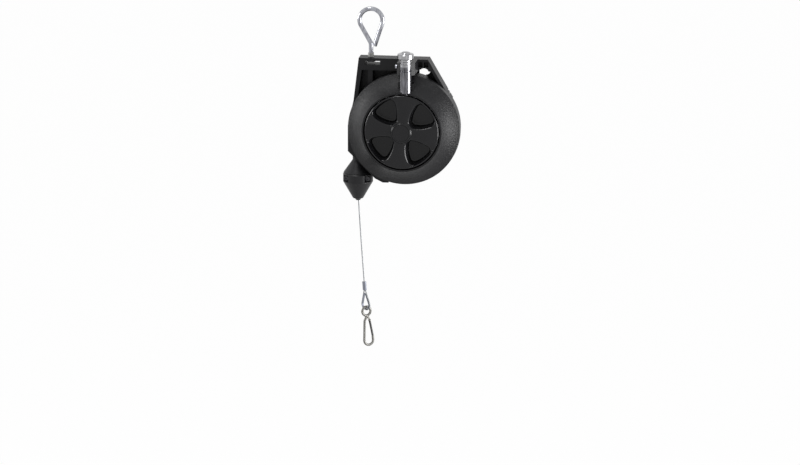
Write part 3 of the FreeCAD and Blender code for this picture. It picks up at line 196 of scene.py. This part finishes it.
def twistRope(line, radius):
    # strands laid round a line: a lobed ring carried along the points and turned as it goes
    values = ropeValues
    points, length = evenPoints(line, values["step"])
    bm = bmesh.new()
    count = values["strands"] * values["strandPoints"]
    ring = bmesh.ops.create_circle(bm, segments=count, radius=radius)["verts"]
    for vert in ring:
        angle = math.atan2(vert.co.y, vert.co.x) * values["strands"]
        between = 0.5 - 0.5 * math.cos(angle)
        vert.co *= 1.0 - values["groove"] * between ** values["grooveShape"]
    cap = bm.faces.new(ring)
    aim = (points[1] - points[0]).normalized()
    tilt = Vector((0, 0, 1)).rotation_difference(aim).to_matrix()
    bmesh.ops.rotate(bm, verts=ring, matrix=tilt)
    bmesh.ops.translate(bm, verts=ring, vec=points[0])
    edges = list(cap.edges)
    beyond = 2 * points[-1] - points[-2]
    for before, here, after in zip(points, points[1:], points[2:] + [beyond]):
        made = bmesh.ops.extrude_edge_only(bm, edges=edges)["geom"]
        verts = [item for item in made if isinstance(item, bmesh.types.BMVert)]
        edges = [item for item in made if isinstance(item, bmesh.types.BMEdge)]
        newAim = (after - before).normalized()
        swing = aim.rotation_difference(newAim)
        bmesh.ops.translate(bm, verts=verts, vec=here - before)
        angle = 2 * math.pi * (here - before).length / values["lay"]
        twist = Matrix.Rotation(angle, 3, newAim)
        bmesh.ops.rotate(bm, verts=verts, cent=here, matrix=twist @ swing.to_matrix())
        aim = newAim
    bmesh.ops.edgeloop_fill(bm, edges=edges)
    return bm, points, length


# materials
class Value:
    # wraps a socket so that sums on it add Math nodes
    def __init__(self, wiring, socket):
        self.wiring = wiring
        self.socket = socket

    def _math(self, operation, first, second):
        return self.wiring.add("ShaderNodeMath", {"operation": operation}, {0: first, 1: second})

    def __add__(self, other):
        return self._math("ADD", self, other)

    def __radd__(self, other):
        return self._math("ADD", other, self)

    def __sub__(self, other):
        return self._math("SUBTRACT", self, other)

    def __mul__(self, other):
        return self._math("MULTIPLY", self, other)

    def clamp(self):
        return self._math("MINIMUM", self._math("MAXIMUM", self, 0.0), 1.0)


class Wiring:
    # one node tree, whose nodes are all made by make()
    def __init__(self, tree):
        self.tree = tree

    def make(self, kind, settings=None, values=None):
        node = self.tree.nodes.new(kind)
        for name, value in (settings or {}).items():
            setattr(node, name, value)
        for name, value in (values or {}).items():
            self.put(node.inputs[name], value)
        return node

    def add(self, kind, settings=None, values=None, output=0):
        return Value(self, self.make(kind, settings, values).outputs[output])

    def put(self, socket, value):
        if isinstance(value, Value):
            self.tree.links.new(value.socket, socket)
        elif isinstance(value, tuple) and len(value) == 3 and socket.type == "RGBA":
            socket.default_value = (*value, 1)
        else:
            socket.default_value = value

    def seenRays(self):
        # one where the camera, a reflection or a refraction looks, else zero
        camera = self.add("ShaderNodeLightPath", output="Is Camera Ray")
        mirrored = self.add("ShaderNodeLightPath", output="Is Glossy Ray")
        through = self.add("ShaderNodeLightPath", output="Is Transmission Ray")
        return (camera + mirrored + through).clamp()


class Finish(Wiring):
    # one material
    inputNames = {"color": "Base Color", "roughness": "Roughness", "metallic": "Metallic",
                  "specular": "Specular IOR Level", "normal": "Normal"}

    def __init__(self, name):
        self.material = bpy.data.materials.new(name)
        self.material.use_nodes = True
        super().__init__(self.material.node_tree)
        self.tree.nodes.clear()
        self.output = self.make("ShaderNodeOutputMaterial")
        self.shader = self.make("ShaderNodeBsdfPrincipled")
        self.tree.links.new(self.shader.outputs["BSDF"], self.output.inputs["Surface"])
        self.place = self.add("ShaderNodeTexCoord", output="Object")

    def set(self, **values):
        for name, value in values.items():
            self.put(self.shader.inputs[self.inputNames[name]], value)

    def noise(self, scale, detail=2.0, rough=0.5, stretch=None):
        place = self.place
        if stretch:
            place = self.add("ShaderNodeMapping", None, {"Vector": place, "Scale": stretch})
        values = {"Vector": place, "Scale": scale, "Detail": detail, "Roughness": rough}
        return self.add("ShaderNodeTexNoise", None, values, "Fac")

    def ramp(self, value, start, end):
        # zero below start, one above end
        node = self.make("ShaderNodeValToRGB", None, {"Fac": value})
        for element, position, level in zip(node.color_ramp.elements, (start, end), (0.0, 1.0)):
            element.position = position
            element.color = (level, level, level, 1)
        return Value(self, node.outputs["Color"])

    def mix(self, factor, first, second):
        return self.add("ShaderNodeMix", {"data_type": "RGBA"}, {0: factor, 6: first, 7: second}, 2)

    def bump(self, height, distance):
        values = {"Height": height, "Distance": distance, "Strength": 1.0}
        return self.add("ShaderNodeBump", None, values)


plasticValues = {
    "shell": {
        "name": "satinBlackShell", "dark": (0.005, 0.005, 0.006), "light": (0.010, 0.010, 0.011),
        "rough": 0.36, "grain": 0.00008, "grainSize": 0.0014, "scuff": 0.10, "specular": 0.20,
    },
    "cover": {
        "name": "grainedBlackCover", "dark": (0.003, 0.003, 0.004), "light": (0.007, 0.007, 0.008),
        "rough": 0.31, "grain": 0.00055, "grainSize": 0.0017, "scuff": 0.14, "specular": 0.25,
    },
    "stop_rubber": {
        "name": "ropeStopBlack", "dark": (0.006, 0.006, 0.007), "light": (0.012, 0.012, 0.013),
        "rough": 0.32, "grain": 0.00006, "grainSize": 0.0016, "scuff": 0.12, "specular": 0.24,
    },
}


def mouldedPlastic(name, dark, light, rough, grain, grainSize, scuff, specular):
    # black moulding: fine surface grain, slow changes of sheen, and pale handling marks
    finish = Finish(name)
    cloud = finish.noise(28.0, detail=3.0)
    fine = finish.noise(1.0 / grainSize, detail=3.0, rough=0.65)
    marks = finish.noise(60.0, detail=6.0, rough=0.72, stretch=(1.0, 1.0, 2.4))
    rub = finish.ramp(marks, 0.56, 0.74)
    base = finish.mix(cloud, dark, light)
    finish.set(color=finish.mix(rub * scuff, base, (0.09, 0.09, 0.095)))
    finish.set(roughness=(rough + cloud * 0.10 + fine * 0.06 - rub * 0.05).clamp())
    finish.set(normal=finish.bump(fine, grain), specular=specular)
    return finish.material


def makePlastics():
    made = {slot: mouldedPlastic(**values) for slot, values in plasticValues.items()}

    gloss = Finish("polishedBlack")
    cloud = gloss.noise(22.0)
    peel = gloss.noise(240.0, rough=0.4)
    smudge = gloss.ramp(gloss.noise(70.0, detail=5.0, rough=0.7), 0.45, 0.75)
    gloss.set(color=gloss.mix(cloud, (0.004, 0.004, 0.005), (0.008, 0.008, 0.009)))
    gloss.set(roughness=0.20 + smudge * 0.14, specular=0.26, normal=gloss.bump(peel, 0.00003))
    made["gloss_black"] = gloss.material

    nylon = Finish("greyNylon")
    nylon.set(color=nylon.mix(nylon.noise(300.0), (0.26, 0.26, 0.25), (0.36, 0.36, 0.35)))
    nylon.set(roughness=0.5, normal=nylon.bump(nylon.noise(1600.0), 0.00003))
    made["grey_nylon"] = nylon.material

    drum = Finish("naturalDrumNylon")
    marks = drum.ramp(drum.noise(120.0, detail=5.0, rough=0.7), 0.4, 0.8)
    drum.set(color=drum.mix(marks, (0.50, 0.53, 0.44), (0.36, 0.38, 0.32)))
    drum.set(roughness=0.46 + marks * 0.12)
    drum.set(normal=drum.bump(drum.noise(900.0, detail=3.0), 0.00003))
    made["drum_plastic"] = drum.material
    return made


# streak stretches the pattern along each axis, and spread is what it adds to the roughness
metalValues = {
    "black_screw": {
        "name": "blackenedScrew", "dark": (0.03, 0.03, 0.032), "light": (0.07, 0.07, 0.075),
        "rough": 0.30, "spread": 0.2, "streak": (1.0, 1.0, 1.0), "scale": 600.0,
        "bump": 0.00002, "tarnish": 0.2,
    },
    "bearing_bronze": {
        "name": "sinteredBronze", "dark": (0.44, 0.28, 0.14), "light": (0.56, 0.38, 0.20),
        "rough": 0.36, "spread": 0.2, "streak": (1.0, 1.0, 1.0), "scale": 900.0,
        "bump": 0.00002, "tarnish": 0.4,
    },
    "crimp_metal": {
        "name": "pressedFerrule", "dark": (0.14, 0.15, 0.18), "light": (0.26, 0.27, 0.31),
        "rough": 0.34, "spread": 0.2, "streak": (1.0, 1.0, 0.3), "scale": 700.0,
        "bump": 0.00003, "tarnish": 0.3,
    },
    "machined_steel": {
        "name": "turnedSteel", "dark": (0.36, 0.37, 0.38), "light": (0.46, 0.47, 0.48),
        "rough": 0.24, "spread": 0.2, "streak": (0.2, 1.0, 0.2), "scale": 900.0,
        "bump": 0.00001, "tarnish": 0.3,
    },
    "spring_steel": {
        "name": "bluedSpring", "dark": (0.12, 0.13, 0.17), "light": (0.22, 0.23, 0.27),
        "rough": 0.26, "spread": 0.2, "streak": (1.0, 0.2, 1.0), "scale": 500.0,
        "bump": 0.00001, "tarnish": 0.3,
    },
    "hook_nickel": {
        "name": "nickelHook", "dark": (0.09, 0.088, 0.082), "light": (0.20, 0.196, 0.185),
        "rough": 0.30, "spread": 0.18, "streak": (1.0, 1.0, 0.3), "scale": 500.0,
        "bump": 0.00002, "tarnish": 0.5,
    },
}
# the hook's gate: the hook's nickel painted darker as painted shade, and without tarnish
shadedGateValues = {
    "name": "gateNickelPaintedShade", "dark": (0.03, 0.03, 0.03), "light": (0.08, 0.08, 0.078),
    "rough": 0.30, "spread": 0.18, "streak": (1.0, 1.0, 0.3), "scale": 500.0,
    "bump": 0.00001, "tarnish": 0.0,
}
# how far below the origin the pin's cap starts, and how sharply: the cap's chrome is painted
# lighter as a highlight, and the barrel below it darker as painted shade
chromeValues = {"paintedHighlightFoot": 0.058, "edge": 600.0}


def plainMetal(name, dark, light, rough, spread, streak, scale, bump, tarnish):
    # metal with drawn streaks, patchy sheen and a little tarnish
    finish = Finish(name)
    lines = finish.noise(scale, detail=4.0, rough=0.6, stretch=streak)
    patch = finish.noise(45.0, detail=4.0, rough=0.6)
    spots = finish.ramp(finish.noise(420.0, detail=4.0, rough=0.7), 0.58, 0.78)
    base = finish.mix(patch, dark, light)
    finish.set(color=finish.mix(spots * tarnish, base, (0.10, 0.09, 0.08)), metallic=1.0)
    finish.set(roughness=(rough + lines * spread + spots * tarnish * 0.3).clamp())
    finish.set(normal=finish.bump(lines, bump))
    return finish.material


def makeMetals():
    made = {slot: plainMetal(**values) for slot, values in metalValues.items()}

    zinc = Finish("brightZinc")
    # streaks along the wire: painted reflection streaks, dark and light, in the colour; drawn marks
    # in the roughness and bump
    pattern = zinc.noise(520.0, detail=4.0, rough=0.6, stretch=(1.0, 1.0, 0.30))
    drawnMarksAndPaintedReflection = zinc.ramp(pattern, 0.35, 0.65)
    zinc.set(color=zinc.mix(drawnMarksAndPaintedReflection, (0.24, 0.24, 0.27), (0.40, 0.41, 0.44)), metallic=1.0)
    zinc.set(roughness=0.17 + drawnMarksAndPaintedReflection * 0.08, normal=zinc.bump(drawnMarksAndPaintedReflection, 0.000012))
    made["zinc_steel"] = zinc.material

    chrome = Finish("chromePlateWithPaintedLight")
    # painted light: one chrome plate, its barrel coloured dark as painted shade and its cap light
    # as a painted highlight, split at the foot of the cap
    height = chrome.add("ShaderNodeSeparateXYZ", None, {"Vector": chrome.place}, "Z")
    capHighlightMask = ((height + chromeValues["paintedHighlightFoot"]) * chromeValues["edge"]).clamp()
    # streaks along the pin: painted reflection streaks in the colour of barrel and cap, and a real
    # bump
    pattern = chrome.noise(620.0, detail=4.0, rough=0.6, stretch=(1.0, 1.0, 0.07))
    streak = chrome.ramp(pattern, 0.36, 0.64)
    film = chrome.ramp(chrome.noise(150.0, detail=4.0, rough=0.6), 0.42, 0.72)
    barrelPaintedShade = chrome.mix(streak, (0.05, 0.05, 0.055), (0.26, 0.26, 0.28))
    cap = chrome.mix(streak, (0.30, 0.30, 0.31), (0.44, 0.44, 0.45))
    plateWithPaintedLight = chrome.mix(capHighlightMask, barrelPaintedShade, cap)
    chrome.set(color=chrome.mix(film * 0.35, plateWithPaintedLight, (0.08, 0.08, 0.08)), metallic=1.0)
    chrome.set(roughness=0.12 + film * 0.14, normal=chrome.bump(streak, 0.000006))
    made["chrome"] = chrome.material

    wire = Finish("galvanisedRope")
    dirt = wire.ramp(wire.noise(500.0, detail=4.0, rough=0.7), 0.45, 0.8)
    wire.set(color=wire.mix(dirt, (0.28, 0.29, 0.30), (0.18, 0.18, 0.18)), metallic=0.6)
    wire.set(roughness=0.42 + dirt * 0.2, normal=wire.bump(wire.noise(5200.0), 0.00003))
    made["wire_rope"] = wire.material
    return made


finishes = {**makePlastics(), **makeMetals()}
# darker copy of the hook's nickel for the gate: painted shade
shadedGateFinish = plainMetal(**shadedGateValues)
nodeSmooth = 32.0           # degrees


def dressNodes():
    slots = {entry["node"]: entry["material_slot"] for entry in frame["record"]["subparts"]}
    for name, node in nodes.items():
        node.data.materials.clear()
        node.data.materials.append(shadedGateFinish if name == "hook_gate" else finishes[slots[name]])
        node.data.shade_smooth()
        node.data.set_sharp_from_angle(angle=math.radians(nodeSmooth))


dressNodes()
print("materials:", len(finishes))


# knob: turned profile whose front is pressed in at the four finger pockets
knobValues = {
    "side": 0.041,
    "height": -0.1334,
    "around": 480,
    "rows": 66,             # rings between hub and rim
    "hub": 0.0122,
    "rim": 0.0415,
    "hubDepth": -0.0440,
    "fall": 0.0030,         # from the hub back to the rim
    "crown": 0.0012,        # the front bulges this much between hub and rim
    "pockets": 4,
    "turn": 37.5,           # degrees from the right to the first pocket
    "reach": 0.0403,        # outer edge of a pocket
    "apex": 0.0196,         # middle of a pocket's round inner end
    "round": 0.0062,
    "spread": 31.0,         # degrees between a pocket's side and its middle line
    "bulge": 0.0010,        # of a pocket's side
    "sideSteps": 6,
    "outerSteps": 8,
    "lip": 0.0022,
    "slope": 0.0016,        # the front falls this far towards a pocket
    "slopeWidth": 0.0080,
    "wall": 0.0008,
    "floorRound": 0.0020,
    "floor": -0.0280,
    "frontLimit": -0.0395,  # only what lies in front of this is pressed in
    "hubMargin": 0.0001,
    "rimMargin": 0.0003,
    "fade": 0.004,          # pockets grow shallow this strongly near the hub
    "fadeWidth": 0.0016,
    "merge": 0.000002,
    "smooth": 50.0,
}

# radius and depth along the section: hub with its raised ring, then rim, back and bore
hubProfile = [(0.0, -0.0446), (0.0096, -0.0446), (0.0096, -0.0456), (0.0098, -0.0458),
              (0.0106, -0.0458), (0.0110, -0.0456), (0.0114, -0.0451), (0.0118, -0.0445)]
rimProfile = [(0.0426, -0.0405), (0.0430, -0.0398), (0.0430, -0.0382), (0.0415, -0.0382),
              (0.0415, -0.0236), (0.0070, -0.0236), (0.0070, -0.0381), (0.0, -0.0381)]


def pocketEdge():
    # middle line of a pocket's rounding, from its inner end along one side and back to the middle
    values = knobValues
    spread = math.radians(values["spread"])
    outer = values["reach"] - values["round"]
    drop = values["apex"] * math.sin(spread)
    length = math.sqrt(outer ** 2 - drop ** 2) - values["apex"] * math.cos(spread)
    line = []
    for step in range(values["sideSteps"] + 1):
        part = step / values["sideSteps"]
        bulge = values["bulge"] * 4 * part * (1 - part)
        u = values["apex"] + length * part * math.cos(spread) - bulge * math.sin(spread)
        v = length * part * math.sin(spread) + bulge * math.cos(spread)
        line.append((u, v))
    last = math.atan2(line[-1][1], line[-1][0])
    for step in range(values["outerSteps"]):
        angle = last * (1 - (step + 1) / values["outerSteps"])
        line.append((outer * math.cos(angle), outer * math.sin(angle)))
    return line


def insidePocket(edge, u, v):
    # how far a point lies inside the pocket's outline, negative outside
    best = math.inf
    crossings = 0
    for (u0, v0), (u1, v1) in zip(edge, edge[1:]):
        du, dv = u1 - u0, v1 - v0
        part = min(max(((u - u0) * du + (v - v0) * dv) / (du * du + dv * dv), 0.0), 1.0)
        best = min(best, math.hypot(u - u0 - du * part, v - v0 - dv * part))
        if (v0 > v) != (v1 > v) and u < u0 + (v - v0) * du / dv:
            crossings += 1
    within = crossings % 2 == 1
    return knobValues["round"] + (best if within else -best)


def pressIn(front, inside):
    # depth of the knob's front here: round lip, steep wall, round foot
    values = knobValues
    lip, wall, foot = values["lip"], values["wall"], values["floorRound"]
    near = min(max(1 + inside / values["slopeWidth"], 0.0), 1.0)
    front += values["slope"] * near ** 2
    deep = values["floor"] - front
    if inside <= -lip:
        return front
    if inside < 0:
        return front + lip - math.sqrt(lip ** 2 - (inside + lip) ** 2)
    if inside < wall:
        return front + lip + (deep - lip - foot) * inside / wall
    rest = max(foot - (inside - wall), 0.0)
    return front + deep - foot + math.sqrt(foot ** 2 - rest ** 2)


def knobProfile():
    values = knobValues
    front = []
    for row in range(values["rows"] + 1):
        part = row / values["rows"]
        rise = values["crown"] * 4 * part * (1 - part)
        radius = values["hub"] + (values["rim"] - values["hub"]) * part
        front.append((radius, values["hubDepth"] + values["fall"] * part - rise))
    return hubProfile + front + rimProfile


def makeKnob():
    values = knobValues
    hub, rim = values["hub"], values["rim"]
    bm = bmesh.new()
    verts = [bm.verts.new((radius, y, 0)) for radius, y in knobProfile()]
    edges = [bm.edges.new(pair) for pair in zip(verts, verts[1:])]
    bmesh.ops.spin(bm, geom=verts + edges, cent=(0, 0, 0), axis=(0, 1, 0), angle=2 * math.pi,
                   steps=values["around"], use_merge=True)
    bmesh.ops.remove_doubles(bm, verts=bm.verts, dist=values["merge"])
    edge = pocketEdge()
    pitch = 2 * math.pi / values["pockets"]
    for vert in bm.verts:
        radius = math.hypot(vert.co.x, vert.co.z)
        between = hub - values["hubMargin"] < radius < rim - values["rimMargin"]
        if vert.co.y > values["frontLimit"] or not between:
            continue
        angle = math.atan2(vert.co.z, vert.co.x) - math.radians(values["turn"])
        local = (angle + pitch / 2) % pitch - pitch / 2
        inside = insidePocket(edge, radius * math.cos(local), abs(radius * math.sin(local)))
        inside -= values["fade"] * max(1 - (radius - hub) / values["fadeWidth"], 0.0)
        vert.co.y = pressIn(vert.co.y, inside)
    bmesh.ops.translate(bm, verts=bm.verts, vec=(values["side"], 0, values["height"]))
    knob = addPiece("fingerKnob", bm, "knob", finishes["gloss_black"], values["smooth"])
    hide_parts("tension_knob")
    print("knob", len(knob.data.polygons), "faces")


makeKnob()


# loop of rope round the thimble
loopValues = {
    "radius": 0.0062,
    "centre": 0.00585,      # of the round end, above the hook's hinge
    "length": 0.023,
    "turn": -35.0,
    "slope": 18.3,          # degrees of each leg
    "ferrule": 0.010,
    "gap": 0.0002,          # between leg and ferrule
    "steps": 32,
    "smooth": 60.0,
}


def loopLine():
    values = loopValues
    radius, centre = values["radius"], values["centre"]
    slope = math.radians(values["slope"])
    hinge = ropeValues["drop"] + values["ferrule"] + values["length"]
    rise = values["length"] - centre - radius * math.sin(slope)
    leg = rise / math.cos(slope) - values["gap"]
    legX = radius * math.cos(slope) - leg * math.sin(slope)
    legZ = centre + radius * math.sin(slope) + leg * math.cos(slope)
    arc = []
    for step in range(values["steps"] + 1):
        angle = slope - (math.pi + 2 * slope) * step / values["steps"]
        arc.append((radius * math.cos(angle), centre + radius * math.sin(angle)))
    corners = [(legX, legZ)] + arc + [(-legX, legZ)]
    return [leaningPoint(hinge - z, x, values["turn"]) for x, z in corners]


def makeLoop():
    bm, points, length = twistRope(loopLine(), ropeValues["diameter"] / 2)
    loop = addPiece("wireLoop", bm, "rope_end", finishes["wire_rope"], loopValues["smooth"])
    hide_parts("rope_loop")
    print("loop", round(length, 4))
    return loop


wireLoop = makeLoop()


# coil spring inside the lock pin's barrel
springValues = {
    "wire": 0.0007,
    "wirePoints": 10,
    "radius": 0.00355,      # to the middle of the wire
    "turns": 7,
    "steps": 24,            # rings in one turn
    "side": 0.045,
    "front": -0.034,
    "low": -0.0747,         # on the pin's collar
    "high": -0.0591,        # under the ring nut
    "smooth": 60.0,
}


def makeSpring():
    values = springValues
    side, front, low, high = (values[name] for name in ("side", "front", "low", "high"))
    thick = values["wire"] / 2
    steps = values["turns"] * values["steps"]
    rise = (high - low - values["wire"]) / steps
    bm = bmesh.new()
    ring = bmesh.ops.create_circle(bm, segments=values["wirePoints"], radius=thick)["verts"]
    upright = Matrix.Rotation(math.radians(90), 3, "X")
    bmesh.ops.rotate(bm, verts=ring, matrix=upright)
    bmesh.ops.translate(bm, verts=ring, vec=(values["radius"], 0, low + thick))
    first = list(bm.edges)
    made = bmesh.ops.spin(bm, geom=ring + first, cent=(0, 0, 0), axis=(0, 0, 1),
                          dvec=(0, 0, rise), angle=2 * math.pi * values["turns"],
                          steps=steps)["geom_last"]
    last = [item for item in made if isinstance(item, bmesh.types.BMEdge)]
    bmesh.ops.edgeloop_fill(bm, edges=first)
    bmesh.ops.edgeloop_fill(bm, edges=last)
    bmesh.ops.translate(bm, verts=bm.verts, vec=(side, front, 0))
    spring = addPiece("pinSpring", bm, None, finishes["spring_steel"], values["smooth"])
    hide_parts("lock_spring")
    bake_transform(spring)
    print("pin spring set")


makeSpring()


ropeSmooth = 60.0           # degrees


def makeRope():
    values = ropeValues
    side, seat, drumEnd = values["side"], values["seat"], values["drumEnd"]
    route = [Vector((side, 0, z)) for z in (drumEnd, seat, values["bend"])]
    route.append(leaningPoint(values["drop"]))
    bm, points, length = twistRope(readRoute(route), values["diameter"] / 2)
    rope = addPiece("wireRope", bm, None, finishes["wire_rope"], ropeSmooth)
    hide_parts("rope", "rope_lead")
    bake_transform(rope)
    print("rope", round(length, 4))


makeRope()


# stage and light
stageValues = {
    "floorDepth": 0.35,     # below the part
    "floorSize": 24.0,
    "floorDark": (0.82, 0.82, 0.82),
    "floorLight": (0.85, 0.85, 0.85),
    "floorRough": 0.8,
    "glowShare": 0.98,      # share of the floor's look that is plain white
    "skyLevel": 0.35,       # strength of the sky as a light; seen directly it is plain white
}
lampValues = {
    "key": {"place": (1.30, -0.30, -0.24), "size": 0.66, "power": 22.0},
    "fill": {"place": (-1.3, -0.20, 0.16), "size": 0.55, "power": 11.0},
    "top": {"place": (-0.35, -0.45, 1.25), "size": 0.36, "power": 7.0},
}
lampAim = (0.03, 0, -0.16)


def makeFloor():
    values = stageValues
    low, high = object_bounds()
    bm = bmesh.new()
    bmesh.ops.create_grid(bm, x_segments=1, y_segments=1, size=values["floorSize"] / 2)
    bmesh.ops.translate(bm, verts=bm.verts, vec=(0, 0, low[2] - values["floorDepth"]))
    mesh = bpy.data.meshes.new("floor")
    bm.to_mesh(mesh)
    bm.free()
    floor = bpy.data.objects.new("floor", mesh)
    scene.collection.objects.link(floor)

    paper = Finish("paleFloor")
    paper.set(color=paper.mix(paper.noise(3.0), values["floorDark"], values["floorLight"]))
    paper.set(roughness=values["floorRough"])
    body = Value(paper, paper.shader.outputs["BSDF"])
    glow = paper.add("ShaderNodeEmission", None, {"Color": (1.0, 1.0, 1.0), "Strength": 1.0})
    share = paper.seenRays() * values["glowShare"]
    mixed = paper.add("ShaderNodeMixShader", None, {0: share, 1: body, 2: glow})
    paper.put(paper.output.inputs["Surface"], mixed)
    mesh.materials.append(paper.material)


def makeSky():
    world = bpy.data.worlds.new("studio")
    scene.world = world
    world.use_nodes = True
    sky = Wiring(world.node_tree)
    levels = {"Value": sky.seenRays(), "To Min": stageValues["skyLevel"], "To Max": 1.0}
    back = world.node_tree.nodes["Background"]
    sky.put(back.inputs["Color"], (1.0, 1.0, 1.0))
    sky.put(back.inputs["Strength"], sky.add("ShaderNodeMapRange", None, levels, "Result"))


def makeLamps():
    middle = Vector(lampAim)
    for name, values in lampValues.items():
        data = bpy.data.lights.new(name, "AREA")
        data.energy = values["power"]
        data.size = values["size"]
        lamp = bpy.data.objects.new(name, data)
        scene.collection.objects.link(lamp)
        place = Vector(values["place"])
        aim = (place - middle).to_track_quat("Z", "Y").to_matrix().to_4x4()
        lamp.matrix_world = Matrix.Translation(place) @ aim


makeFloor()
makeSky()
makeLamps()
scene.view_settings.view_transform = "Standard"
print("stage and lamps set")
